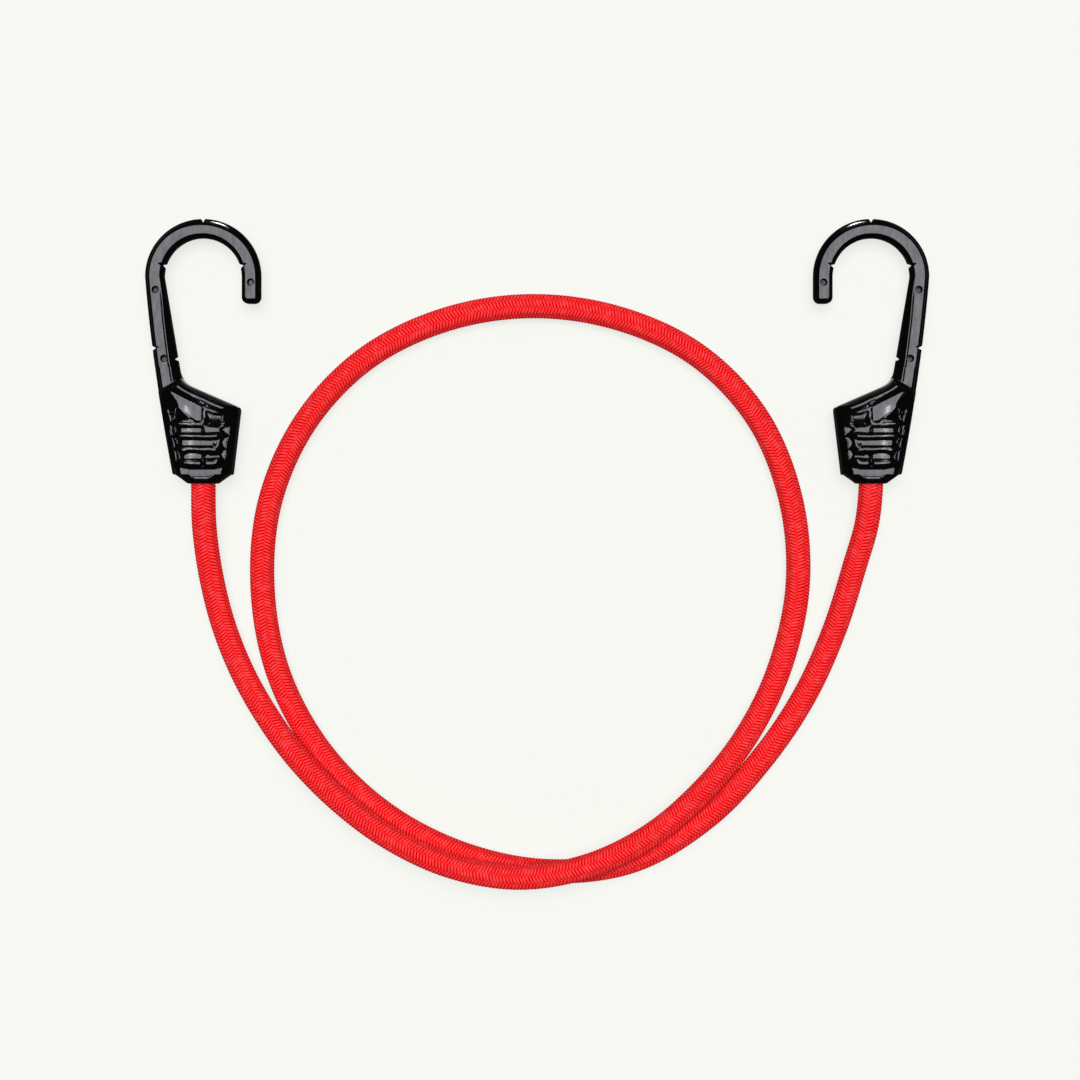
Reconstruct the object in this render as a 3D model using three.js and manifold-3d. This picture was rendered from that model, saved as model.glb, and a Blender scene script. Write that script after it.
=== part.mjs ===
// Bungee cord: a braided elastic cord, laid in a loop, with a moulded hook on each end.
// Millimetres, +Z up. The cord and both hooks lie on z = 0. The hooks point along +Y.
import * as THREE from 'three';
import { mergeVertices } from 'three/addons/utils/BufferGeometryUtils.js';
import Module from 'manifold-3d';

const wasm = await Module();
wasm.setup();

// Driving dimensions of the cord
const cordDiameter = 8;
const coverWall = 0.65;
const fitGap = 0.3;
const cordSides = 12;
const routeSteps = 56;
const cordEndDepth = 20;

// Driving dimensions of the hook, measured up from the barrel's mouth
const crownRadius = 18.5;
const crownHeight = 65.6;
const bandWidth = 6.3;
const bandDepth = 7;
const bandEdgeInset = 1.6;
const bandEdgeDepth = 1.3;
const tipLength = 8.4;
const tipCornerMargin = 0.4;
const shankFootWidth = 7.6;
const notchWidth = 2.8;
const notchDepth = 0.9;
const notchFaceDepth = 1.9;
const pinMarkRadius = 1.2;
const tipMarkDrop = 1.9;
const shankMarkDrop = 4.2;
const footMarkDrop = 26;

// Driving dimensions of the barrel
const barrelDepth = 15;
const barrelSideDepth = 9.2;
const barrelFootHalfWidth = 9.7;
const barrelFootHeight = 3.1;
const barrelTopHalfWidth = 12.2;
const shoulderHeight = 24;
const shoulderRise = 8.2;
const shoulderEdge = 2.2;
const cheekWidth = 5.2;
const noseRadius = 5.5;
const noseFootHalfWidth = 8.3;

// Driving dimensions of the grip on the barrel's two faces
const groovePitch = 4.1;
const grooveCount = 3;
const grooveHeight = 1.7;
const grooveFlare = 1.5;
const grooveDepth = 0.8;
const firstGroove = 8.9;
const grooveHalfLength = 6.8;
const grooveFlareLength = 2.8;
const panelHeight = 2.6;

// Driving dimensions of the steel core and of the sleeve crimped on the cord's end
const steelWidth = 2.2;
const steelDepth = 2.4;
const steelFootHeight = 7;
const steelWall = 0.9;
const boreGap = 0.4;
const sleeveWall = 1;
const sleeveLength = 9;
const sleeveCap = 0.8;
const crimpDepth = 0.3;
const crimpWidth = 1.4;

// Finishes
const nylonBlack = new THREE.MeshStandardMaterial({ color: 0x111113, roughness: 0.25 });
const steelGrey = new THREE.MeshStandardMaterial({ color: 0x8d9196, roughness: 0.4, metalness: 1 });
const zincBright = new THREE.MeshStandardMaterial({ color: 0xb9bcc0, roughness: 0.35, metalness: 1 });
const coverRed = new THREE.MeshStandardMaterial({ color: 0xe8202a, roughness: 0.7 });
const rubberCream = new THREE.MeshStandardMaterial({ color: 0xd9c9a0, roughness: 0.85 });

// How far every cut runs past the surface that it opens
const overrun = 1;

// The mouth of each barrel is where the cord leaves it, level with the middle of the barrel's depth
const hookLength = crownHeight + crownRadius;
const mouthY = -hookLength / 2;
const exitHeight = barrelDepth / 2;
const mouthX = 106.1;

// The cord's route on the ground: out of the left mouth, down and round the loop, and into the
// right mouth. The first strand climbs over the last one where the two run together.
const routeOnGround = [
  [-105.8, -56, 7.2],
  [-103.7, -71.9, 5.9],
  [-99.9, -87.4, 4.5],
  [-93.9, -102.2, 5],
  [-85.8, -116, 7.6],
  [-76.2, -128.8, 9.9],
  [-63.6, -141.6, 11.1],
  [-47.7, -153.6, 11.6],
  [-27.8, -163, 12],
  [-6.2, -166.7, 12.5],
  [15.4, -163.3, 12.5],
  [35.3, -154, 11],
  [52.2, -140, 8.7],
  [66.2, -123, 6.1],
  [77, -101.7, 4.2],
  [83.1, -74.4, 4],
  [80.8, -46.7, 4],
  [70.2, -20.9, 4],
  [50.9, -0.9, 4],
  [25.6, 10.8, 4],
  [-2.1, 14.6, 4],
  [-29.6, 10.2, 4],
  [-54.6, -2.1, 4],
  [-73.8, -22.2, 4],
  [-85.2, -47.7, 4],
  [-87.6, -75.5, 4],
  [-82.4, -102.9, 4],
  [-69.1, -127.4, 4],
  [-49.2, -146.9, 4],
  [-24.5, -159.9, 4],
  [2.8, -165.6, 4],
  [30.4, -162.3, 4],
  [54.4, -148.1, 4],
  [72.2, -129.2, 4],
  [85.5, -109.3, 4],
  [94.9, -88.4, 4],
  [101.4, -67.5, 5],
  [104.9, -54.5, 6.7],
];

// The whole route, with the straight ends that stand in the two barrels
function cordRoute() {
  const points = [
    [-mouthX, mouthY + cordEndDepth, exitHeight],
    [-mouthX, mouthY, exitHeight],
    ...routeOnGround,
    [mouthX, mouthY, exitHeight],
    [mouthX, mouthY + cordEndDepth, exitHeight],
  ].map(([x, y, z]) => new THREE.Vector3(x, y, z));
  const curve = new THREE.CatmullRomCurve3(points, false, 'centripetal');
  curve.arcLengthDivisions = points.length * routeSteps;
  return curve;
}

// The cord's free length from mouth to mouth, and its least gap to itself where it lies double
function reportRoute(route) {
  const whole = route.getLength();
  const samples = routeSteps * cordSides;
  const step = whole / samples;
  const points = route.getSpacedPoints(samples);
  const apart = Math.ceil((2 * Math.PI * cordDiameter) / step);
  let least = whole;
  for (let i = 0; i <= samples; i += 1) {
    for (let j = i + apart; j <= samples; j += 1) {
      least = Math.min(least, points[i].distanceTo(points[j]));
    }
  }
  const free = whole - 2 * cordEndDepth;
  console.log(`cord from mouth to mouth ${free.toFixed(1)} mm`);
  console.log(`least gap of the cord to itself ${(least - cordDiameter).toFixed(2)} mm`);
}

// A closed solid, made from a closed geometry or turned back into one
function solidOf(geometry) {
  const bare = geometry.clone();
  bare.deleteAttribute('normal');
  bare.deleteAttribute('uv');
  const merged = mergeVertices(bare);
  return new wasm.Manifold(new wasm.Mesh({
    numProp: 3,
    vertProperties: new Float32Array(merged.attributes.position.array),
    triVerts: new Uint32Array(merged.index.array),
  }));
}

function geometryOf(solid) {
  const mesh = solid.getMesh();
  const geometry = new THREE.BufferGeometry();
  geometry.setAttribute('position', new THREE.BufferAttribute(mesh.vertProperties, 3));
  geometry.setIndex(new THREE.BufferAttribute(mesh.triVerts, 1));
  return geometry;
}

// A closed solid through rings of equally many points, each ring seen anticlockwise from ahead
function ringSolid(rings) {
  const count = rings[0].length;
  const index = [];
  for (let r = 0; r < rings.length - 1; r += 1) {
    for (let k = 0; k < count; k += 1) {
      const next = (k + 1) % count;
      const low = r * count;
      const high = low + count;
      index.push(low + k, low + next, high + next, low + k, high + next, high + k);
    }
  }
  const last = (rings.length - 1) * count;
  for (let k = 1; k < count - 1; k += 1) {
    index.push(0, k + 1, k, last, last + k, last + k + 1);
  }
  const geometry = new THREE.BufferGeometry();
  geometry.setAttribute('position', new THREE.Float32BufferAttribute(rings.flat(2), 3));
  geometry.setIndex(index);
  return geometry;
}

// A slab of an outline, lying between two heights
function slab(shape, low, high, curveSegments = 1) {
  const geometry = new THREE.ExtrudeGeometry(shape, {
    depth: high - low,
    bevelEnabled: false,
    curveSegments,
  });
  return geometry.translate(0, 0, low);
}

function outline(points) {
  return new THREE.Shape(points.map(([x, y]) => new THREE.Vector2(x, y)));
}

// The shank's outer edge bows from the crown to the foot of the barrel
const shankBowAcrossShare = 0.25;
const shankBowDownShare = 0.45;
const innerRadius = crownRadius - bandWidth;

function shankBow() {
  const drop = crownHeight - barrelFootHeight;
  const lean = crownRadius - barrelFootHalfWidth;
  return new THREE.QuadraticBezierCurve(
    new THREE.Vector2(-crownRadius, crownHeight),
    new THREE.Vector2(
      -crownRadius + shankBowAcrossShare * lean,
      crownHeight - shankBowDownShare * drop,
    ),
    new THREE.Vector2(-barrelFootHalfWidth, barrelFootHeight),
  );
}

// The bow's place across at a height, from the root of its quadratic
function bowAt(height) {
  const bow = shankBow();
  const a = bow.v0.y - 2 * bow.v1.y + bow.v2.y;
  const b = 2 * (bow.v1.y - bow.v0.y);
  const c = bow.v0.y - height;
  const root = Math.abs(a) > Number.EPSILON
    ? (-b - Math.sqrt(b * b - 4 * a * c)) / (2 * a)
    : -c / b;
  return bow.getPoint(root).x;
}

// Where the shank's inner edge meets the slope of the shoulder
const shoulderTop = shoulderHeight + shoulderRise;
const shoulderInnerX = -crownRadius + shankBowAcrossShare * (crownRadius - barrelFootHalfWidth)
  + shankFootWidth + bandWidth / 3;
const filletRun = shankFootWidth / 2;

function shoulderAt(x) {
  const across = (barrelTopHalfWidth - x) / (barrelTopHalfWidth - shoulderInnerX);
  return shoulderHeight + shoulderRise * across;
}

// Points along a curve or an arc, its two ends included
function along(curve, steps) {
  return curve.getPoints(steps).map((point) => [point.x, point.y]);
}

function arc(x, y, radius, from, to, steps) {
  return along(new THREE.EllipseCurve(x, y, radius, radius, from, to, to < from), steps);
}

// The hook's band seen from above: crown, tip, and the shank down into the barrel
const crownSteps = 23;
const cornerSteps = 3;
const bowSteps = 6;
const tipCorner = bandEdgeInset + tipCornerMargin;

function bandOutline() {
  const quarter = Math.PI / 2;
  const cornerY = crownHeight - tipLength + tipCorner;
  const footX = barrelFootHalfWidth - shankFootWidth;
  const fillet = new THREE.QuadraticBezierCurve(
    new THREE.Vector2(shoulderInnerX - filletRun / 4, shoulderTop + filletRun),
    new THREE.Vector2(shoulderInnerX, shoulderTop),
    new THREE.Vector2(shoulderInnerX + filletRun, shoulderAt(shoulderInnerX + filletRun)),
  );
  return [
    ...along(shankBow(), bowSteps).reverse().slice(0, -1),
    ...arc(0, crownHeight, crownRadius, 2 * quarter, 0, crownSteps),
    ...arc(crownRadius - tipCorner, cornerY, tipCorner, 0, -quarter, cornerSteps),
    ...arc(innerRadius + tipCorner, cornerY, tipCorner, -quarter, -2 * quarter, cornerSteps),
    ...arc(0, crownHeight, innerRadius, 0, 2 * quarter, crownSteps),
    ...along(fillet, cornerSteps),
    [-footX, barrelFootHeight + bandEdgeDepth],
  ];
}

function band() {
  const geometry = new THREE.ExtrudeGeometry(outline(bandOutline()), {
    depth: bandDepth - 2 * bandEdgeDepth,
    bevelEnabled: true,
    bevelThickness: bandEdgeDepth,
    bevelSize: bandEdgeInset,
    bevelOffset: -bandEdgeInset,
    bevelSegments: 2,
  });
  return geometry.translate(0, 0, bandEdgeDepth - bandDepth / 2);
}

// One level ring of the barrel: flat front and back, with rounded cheeks at the sides
const cheekSteps = 3;

function barrelRing(left, right, halfDepth, cheek, heightAt, half = barrelSideDepth / 2) {
  const corners = [
    [right - cheek, 1, 1],
    [left + cheek, -1, 1],
    [left + cheek, -1, -1],
    [right - cheek, 1, -1],
  ];
  const ring = [];
  corners.forEach(([x, side, face], corner) => {
    for (let k = 0; k <= cheekSteps; k += 1) {
      const turn = corner % 2 ? cheekSteps - k : k;
      const angle = (turn / cheekSteps) * (Math.PI / 2);
      const px = x + side * cheek * Math.cos(angle);
      ring.push([px, heightAt(px), face * (half + (halfDepth - half) * Math.sin(angle))]);
    }
  });
  return ring.reverse();
}

// The barrel's body, drawn in by an inset for the floor of its grooves
function barrelBody(inset = 0) {
  const edge = shoulderEdge;
  const half = barrelDepth / 2 - inset;
  const leftTop = bowAt(shoulderTop - 2 * edge) + inset;
  const rightTop = barrelTopHalfWidth - inset;
  const foot = barrelFootHalfWidth - inset;
  const level = (height) => () => height;
  const slope = (drop) => (x) => shoulderAt(x) - drop - inset;
  const nose = (halfWidth, halfDepth, height) => barrelRing(
    -halfWidth,
    halfWidth,
    halfDepth,
    halfWidth - fitGap,
    level(height),
    halfDepth / 4,
  );
  return ringSolid([
    nose(noseRadius - inset, noseRadius - inset, inset),
    nose(noseFootHalfWidth - inset, half - edge / 2, barrelFootHeight - fitGap),
    barrelRing(-foot, foot, half, cheekWidth, level(barrelFootHeight)),
    barrelRing(leftTop, rightTop, half, cheekWidth, slope(2 * edge)),
    barrelRing(leftTop + fitGap, rightTop - fitGap, half - edge / 2, cheekWidth, slope(edge / 2)),
    barrelRing(leftTop + edge, rightTop - edge, barrelSideDepth / 2, cheekWidth / 2, slope(0)),
  ]);
}

// A V cut in the band's edge, wider and deeper towards the two faces than at mid depth
function notch(x, y, outward) {
  const face = bandDepth / 2 + overrun;
  const triangle = (depth, z) => {
    const half = (notchWidth / 2) * (depth / notchFaceDepth);
    const spread = half * (1 + overrun / depth);
    return [
      [-depth, 0, z],
      [overrun, -spread, z],
      [overrun, spread, z],
    ];
  };
  const geometry = ringSolid([
    triangle(notchFaceDepth, -face),
    triangle(notchDepth, 0),
    triangle(notchFaceDepth, face),
  ]);
  return solidOf(geometry.rotateZ(outward).translate(x, y, 0));
}

// The five notches that the mould's locators leave in the band
const innerNotchAngle = Math.PI / 11;
const footNotchRise = 3.4;

function notches() {
  const up = Math.PI / 2;
  const onArc = (radius, angle, outward) => notch(
    radius * Math.cos(angle),
    crownHeight + radius * Math.sin(angle),
    outward,
  );
  const footY = crownHeight - footMarkDrop;
  const outerY = footY + footNotchRise;
  const innerX = shoulderInnerX - filletRun / 4
    - (innerRadius + shoulderInnerX - filletRun / 4)
    * ((footY - shoulderTop - filletRun) / (crownHeight - shoulderTop - filletRun));
  return [
    onArc(crownRadius, up, up),
    onArc(innerRadius, innerNotchAngle, innerNotchAngle + 2 * up),
    onArc(innerRadius, 2 * up - innerNotchAngle, -innerNotchAngle),
    notch(bowAt(outerY), outerY, 2 * up),
    notch(innerX, footY, 0),
  ];
}

// The middle line of the steel core: tip, crown, and straight down the shank past the sleeve
const coreRadius = crownRadius - bandWidth / 2;
const sleeveInner = cordDiameter / 2 + boreGap;
const sleeveOuter = sleeveInner + sleeveWall;
const coreFootX = -(sleeveOuter + boreGap + steelWall + steelWidth / 2 + fitGap);

function coreLineAt(height) {
  const down = (crownHeight - height) / (crownHeight - steelFootHeight);
  return -coreRadius + down * (coreRadius + coreFootX);
}

// A flat strip along the middle line, with an even gap all round it where one is given
function coreStrip(gap = 0) {
  const half = steelWidth / 2 + gap;
  const tipEnd = crownHeight - tipLength + bandEdgeInset + steelWidth / 2 - gap;
  const foot = steelFootHeight - gap;
  const footX = coreLineAt(foot);
  const strip = outline([
    [footX - half, foot],
    ...arc(0, crownHeight, coreRadius + half, Math.PI, 0, crownSteps),
    [coreRadius + half, tipEnd],
    [coreRadius - half, tipEnd],
    ...arc(0, crownHeight, coreRadius - half, 0, Math.PI, crownSteps),
    [footX + half, foot],
  ]);
  return slab(strip, -steelDepth / 2 - gap, steelDepth / 2 + gap);
}

// The round marks of the mould's pins, open from both faces down to the steel
const roundSides = 24;
const markSides = 12;

function pinMarks() {
  const places = [
    [coreRadius, crownHeight - tipMarkDrop],
    [coreLineAt(crownHeight - shankMarkDrop), crownHeight - shankMarkDrop],
    [coreLineAt(crownHeight - footMarkDrop), crownHeight - footMarkDrop],
  ];
  return places.map(([x, y]) => {
    const pin = new THREE.CylinderGeometry(
      pinMarkRadius,
      pinMarkRadius,
      bandDepth + 2 * overrun,
      markSides,
    );
    return solidOf(pin.rotateX(Math.PI / 2).translate(x, y, 0));
  });
}

// The bore that the cord comes out of, and the chamber in which the crimped sleeve turns
const sleeveFoot = cordEndDepth - sleeveLength;
const sleeveTop = cordEndDepth + fitGap + sleeveCap;

function borePocket() {
  const bore = cordDiameter / 2 + boreGap;
  const chamber = sleeveOuter + boreGap;
  const profile = [
    [0, -overrun],
    [bore, -overrun],
    [bore, sleeveFoot - boreGap],
    [chamber, sleeveFoot - boreGap],
    [chamber, sleeveTop + boreGap],
    [0, sleeveTop + boreGap],
  ].map(([r, y]) => new THREE.Vector2(r, y));
  return solidOf(new THREE.LatheGeometry(profile, roundSides));
}

// Grooves across the barrel that flare at the cheeks, cut down to the inset body
function gripCuts() {
  const floor = solidOf(barrelBody(grooveDepth));
  const cuts = [];
  const end = grooveHalfLength + grooveFlareLength;
  const face = barrelDepth / 2 + overrun;
  const cut = (points) => {
    const whole = solidOf(slab(outline(points), -face, face));
    cuts.push(whole.subtract(floor));
  };
  for (let row = 0; row < grooveCount; row += 1) {
    const y = firstGroove + row * groovePitch;
    const low = grooveHeight / 2;
    const high = (grooveHeight + grooveFlare) / 2;
    cut([
      [-end, y - high],
      [-grooveHalfLength, y - low],
      [grooveHalfLength, y - low],
      [end, y - high],
      [end, y + high],
      [grooveHalfLength, y + low],
      [-grooveHalfLength, y + low],
      [-end, y + high],
    ]);
  }
  const panelTop = firstGroove - groovePitch + panelHeight / 2;
  cut([
    [-grooveHalfLength, panelTop - panelHeight],
    [grooveHalfLength, panelTop - panelHeight],
    [grooveHalfLength, panelTop],
    [-grooveHalfLength, panelTop],
  ]);
  cut(shoulderFacet());
  return cuts;
}

// The slanted facet under the shoulder, as shares of the shoulder's width and rise
const facetShares = [
  [-0.83, 0.67],
  [-0.62, 0.12],
  [-0.36, -0.26],
  [-0.13, -0.45],
  [0.02, -0.46],
  [0.02, 0],
  [-0.42, 0.4],
];

function shoulderFacet() {
  return facetShares.map(([across, rise]) => [
    across * barrelTopHalfWidth,
    shoulderHeight + rise * shoulderRise,
  ]);
}

// One hook moulding: the band and the barrel in one, less its grooves, notches and hollows
function hookMoulding() {
  let solid = solidOf(barrelBody()).add(solidOf(band()));
  const cutters = [
    ...gripCuts(),
    ...notches(),
    ...pinMarks(),
    borePocket(),
    solidOf(coreStrip(fitGap)),
  ];
  cutters.forEach((cutter) => {
    solid = solid.subtract(cutter);
  });
  return geometryOf(solid);
}

// The sleeve crimped on the cord's end: a cup with two rolled crimps, open towards the mouth
function crimpSleeve() {
  const crimp = sleeveOuter - crimpDepth;
  const profile = [
    [0, sleeveTop],
    [sleeveOuter, sleeveTop],
  ];
  [2, 1].forEach((k) => {
    const middle = sleeveFoot + (k * sleeveLength) / 3;
    profile.push([sleeveOuter, middle + crimpWidth]);
    profile.push([crimp, middle + crimpWidth / 2]);
    profile.push([crimp, middle - crimpWidth / 2]);
    profile.push([sleeveOuter, middle - crimpWidth]);
  });
  profile.push([sleeveOuter, sleeveFoot]);
  profile.push([sleeveInner, sleeveFoot]);
  profile.push([sleeveInner, cordEndDepth + fitGap]);
  profile.push([0, cordEndDepth + fitGap]);
  const points = profile.reverse().map(([r, y]) => new THREE.Vector2(r, y));
  return new THREE.LatheGeometry(points, roundSides);
}

// The braided cover: a tube along the route
function coverTube(route) {
  const ring = (radius) => {
    const points = [];
    for (let k = 0; k < cordSides; k += 1) {
      const angle = (2 * Math.PI * k) / cordSides;
      points.push(new THREE.Vector2(radius * Math.cos(angle), radius * Math.sin(angle)));
    }
    return points;
  };
  const shape = new THREE.Shape(ring(cordDiameter / 2));
  shape.holes.push(new THREE.Path(ring(cordDiameter / 2 - coverWall)));
  return alongRoute(shape, route);
}

function alongRoute(shape, route) {
  return new THREE.ExtrudeGeometry(shape, { steps: routeSteps, extrudePath: route });
}

// The rubber threads in the cover: square-cut, four by four without the corners. The outermost
// corner lies at (2 side + 1.5 gap, side + 0.5 gap) from the middle and meets the cover's bore
// with one gap left, which gives the side.
const threadRows = [-1.5, -0.5, 0.5, 1.5];
const cornerReach = 2 * Math.max(...threadRows);

function threadSide() {
  const bore = (cordDiameter / 2 - coverWall) * Math.cos(Math.PI / cordSides) - fitGap;
  const b = 7 * fitGap;
  const c = 2.5 * fitGap * fitGap - bore * bore;
  return (-b + Math.sqrt(b * b - 20 * c)) / 10;
}

function rubberThreads(route) {
  const side = threadSide();
  const pitch = side + fitGap;
  const threads = [];
  threadRows.forEach((row) => {
    threadRows.forEach((column) => {
      if (Math.abs(row) + Math.abs(column) >= cornerReach) {
        return;
      }
      const x = column * pitch;
      const y = row * pitch;
      const half = side / 2;
      const square = outline([
        [x - half, y - half],
        [x + half, y - half],
        [x + half, y + half],
        [x - half, y + half],
      ]);
      threads.push(alongRoute(square, route));
    });
  });
  return threads;
}

function piece(name, geometry, material) {
  const mesh = new THREE.Mesh(geometry, material);
  mesh.name = name;
  return mesh;
}

// One end of the cord. The right one is the same moulding turned over.
function hookEnd(side, x, turn) {
  const end = new THREE.Group();
  end.add(
    piece(`${side}_hook_moulding`, hookMoulding(), nylonBlack),
    piece(`${side}_steel_core`, coreStrip(), steelGrey),
    piece(`${side}_crimp_sleeve`, crimpSleeve(), zincBright),
  );
  end.position.set(x, mouthY, exitHeight);
  end.rotation.y = turn;
  return end;
}

const route = cordRoute();
reportRoute(route);

const bungeeCord = new THREE.Group();
bungeeCord.add(hookEnd('left', -mouthX, 0), hookEnd('right', mouthX, Math.PI));
bungeeCord.add(piece('cord_cover', coverTube(route), coverRed));
rubberThreads(route).forEach((geometry, k) => {
  const number = String(k + 1).padStart(2, '0');
  bungeeCord.add(piece(`rubber_thread_${number}`, geometry, rubberCream));
});

export default bungeeCord;
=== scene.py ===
import math

import bmesh
import bpy
import numpy as np
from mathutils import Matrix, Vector


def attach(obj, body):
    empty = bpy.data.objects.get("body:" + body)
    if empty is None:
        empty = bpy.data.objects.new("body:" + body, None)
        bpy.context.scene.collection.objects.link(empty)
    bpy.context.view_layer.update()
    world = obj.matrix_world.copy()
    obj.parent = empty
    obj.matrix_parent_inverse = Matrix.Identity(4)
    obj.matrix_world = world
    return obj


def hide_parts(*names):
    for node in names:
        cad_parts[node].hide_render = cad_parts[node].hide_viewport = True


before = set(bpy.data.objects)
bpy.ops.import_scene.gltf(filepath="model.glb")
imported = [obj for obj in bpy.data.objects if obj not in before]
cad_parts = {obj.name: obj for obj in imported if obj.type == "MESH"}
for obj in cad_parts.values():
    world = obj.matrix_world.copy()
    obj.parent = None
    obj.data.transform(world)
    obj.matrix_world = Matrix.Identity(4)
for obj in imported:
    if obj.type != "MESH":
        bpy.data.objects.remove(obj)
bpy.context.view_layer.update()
collection = bpy.context.scene.collection
hook_sides = {"left": -1, "right": 1}


# Helpers for all pieces: they add an object to the scene, take a mesh after its modifiers, change a
# mesh's materials, and write node trees.
def add_object(name, data):
    item = bpy.data.objects.new(name, data)
    collection.objects.link(item)
    return item


def evaluated_mesh(item):
    bpy.context.view_layer.update()
    evaluated = item.evaluated_get(bpy.context.evaluated_depsgraph_get())
    return bpy.data.meshes.new_from_object(evaluated)


def dress(mesh, *materials):
    mesh.materials.clear()
    for material in materials:
        mesh.materials.append(material)


class Nodes:
    """Adds nodes to one node tree and links them."""

    def __init__(self, tree):
        self.tree = tree

    def node(self, kind, settings=None, **links):
        """Adds a node. Links name its input sockets, with _ for a space, or give their number."""
        node = self.tree.nodes.new(kind)
        for key, value in (settings or {}).items():
            setattr(node, key, value)
        for name, source in links.items():
            key = int(name[1:]) if name[0] == "n" and name[1:].isdigit() else name.replace("_", " ")
            self.feed(node.inputs[key], source)
        return node

    def feed(self, socket, source):
        """Links a node or one of its outputs to a socket, or sets the socket to a constant."""
        if isinstance(source, bpy.types.NodeSocket):
            self.tree.links.new(source, socket)
        elif isinstance(source, bpy.types.Node):
            self.tree.links.new(source.outputs[0], socket)
        else:
            socket.default_value = source

    def math(self, operation, a, b=0.0):
        return self.node("ShaderNodeMath", {"operation": operation}, n0=a, n1=b).outputs[0]


# The camera hangs straight above the loop and looks down through a long lens, so that the two
# hooks are seen almost square on and only a thin line of their inner sides shows.
lens_mm = 100
sensor_mm = 36
camera_middle = (0.0009, -0.0600)
camera_height = 0.961

camera_data = bpy.data.cameras.new("camera")
camera_data.lens = lens_mm
camera_data.sensor_width = sensor_mm
camera = add_object("camera", camera_data)
camera.location = (*camera_middle, camera_height)
bpy.context.scene.camera = camera

# The cord's route is the lie that the cord takes on a flat surface: out of the left barrel, once
# round the loop and into the right barrel. Its first stretch climbs over its last one at the foot
# of the loop. Both ends stand straight in the barrels.
cord_diameter = 0.008
cord_in_barrel = 0.020
mouth_x = 0.1061
mouth_y = -0.04205
mouth_z = 0.0075

route_on_ground = [
    (-0.1058, -0.0560, 0.0072), (-0.1037, -0.0719, 0.0059), (-0.0999, -0.0874, 0.0045),
    (-0.0939, -0.1022, 0.0050), (-0.0858, -0.1160, 0.0076), (-0.0762, -0.1288, 0.0099),
    (-0.0636, -0.1416, 0.0111), (-0.0477, -0.1536, 0.0116), (-0.0278, -0.1630, 0.0120),
    (-0.0062, -0.1667, 0.0125), (0.0154, -0.1633, 0.0125), (0.0353, -0.1540, 0.0110),
    (0.0522, -0.1400, 0.0087), (0.0662, -0.1230, 0.0061), (0.0770, -0.1017, 0.0042),
    (0.0831, -0.0744, 0.0040), (0.0808, -0.0467, 0.0040), (0.0702, -0.0209, 0.0040),
    (0.0509, -0.0009, 0.0040), (0.0256, 0.0108, 0.0040), (-0.0021, 0.0146, 0.0040),
    (-0.0296, 0.0102, 0.0040), (-0.0546, -0.0021, 0.0040), (-0.0738, -0.0222, 0.0040),
    (-0.0852, -0.0477, 0.0040), (-0.0876, -0.0755, 0.0040), (-0.0824, -0.1029, 0.0040),
    (-0.0691, -0.1274, 0.0040), (-0.0492, -0.1469, 0.0040), (-0.0245, -0.1599, 0.0040),
    (0.0028, -0.1656, 0.0040), (0.0304, -0.1623, 0.0040), (0.0544, -0.1481, 0.0040),
    (0.0722, -0.1292, 0.0040), (0.0855, -0.1093, 0.0040), (0.0949, -0.0884, 0.0040),
    (0.1014, -0.0675, 0.0050), (0.1049, -0.0545, 0.0067),
]
route_points = [
    (-mouth_x, mouth_y + cord_in_barrel, mouth_z),
    (-mouth_x, mouth_y, mouth_z),
    *route_on_ground,
    (mouth_x, mouth_y, mouth_z),
    (mouth_x, mouth_y + cord_in_barrel, mouth_z),
]
samples_per_stretch = 60
route_step = 0.0008


def smooth_route(points, step):
    """One smooth curve through the points, sampled evenly, and its length."""
    p = np.array(points)
    p = np.vstack([2 * p[0] - p[1], p, 2 * p[-1] - p[-2]])
    root = np.sqrt(np.linalg.norm(np.diff(p, axis=0), axis=1))[:, None]
    share = np.linspace(0, 1, samples_per_stretch, endpoint=False)[:, None]
    stretches = []
    for k in range(1, len(p) - 2):
        before, here, after = root[k - 1], root[k], root[k + 1]
        leave = (p[k] - p[k - 1]) / before - (p[k + 1] - p[k - 1]) / (before + here)
        leave = here * (leave + (p[k + 1] - p[k]) / here)
        arrive = (p[k + 1] - p[k]) / here - (p[k + 2] - p[k]) / (here + after)
        arrive = here * (arrive + (p[k + 2] - p[k + 1]) / after)
        square = -3 * p[k] + 3 * p[k + 1] - 2 * leave - arrive
        cube = 2 * p[k] - 2 * p[k + 1] + leave + arrive
        stretches.append(p[k] + leave * share + square * share**2 + cube * share**3)
    dense = np.vstack([*stretches, p[-2:-1]])
    run = np.append(0, np.cumsum(np.linalg.norm(np.diff(dense, axis=0), axis=1)))
    even = np.linspace(0, run[-1], round(run[-1] / step) + 1)
    return np.column_stack([np.interp(even, run, dense[:, axis]) for axis in range(3)]), run[-1]


route, route_length = smooth_route(route_points, route_step)


# The braided cover is synthetic yarn, laid by sixteen carriers, eight each way round, each one
# passing over two and under two of the others. Its floats lie in eight columns along the cord and
# lean the other way from column to column, which gives the cord its herringbone look.
carriers_each_way = 8
braid_lead = 0.00836
columns_each_way = 4
yarn_width = 0.00118
yarn_thickness = 0.00048
yarn_wave = 0.00025
yarn_sides = 6
yarn_start = math.pi / 16
wave_share = 1.14
wave_third_share = -0.14
# Half width of the painted highlight along each yarn's middle.
crest_highlight_half_width = yarn_width * 0.26
# Half width at which the painted shade at each yarn's edges is full.
edge_shade_half_width = yarn_width * 0.42
samples_per_turn = 32
braid_radius = cord_diameter / 2 - yarn_wave - yarn_thickness / 2
yarn_red = (1.0, 0.003, 0.007, 1)
# Painted highlight: a lighter red for the yarn's crests, also used for its random slubs.
yarn_highlight_and_slub = (1.0, 0.130, 0.135, 1)
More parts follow.
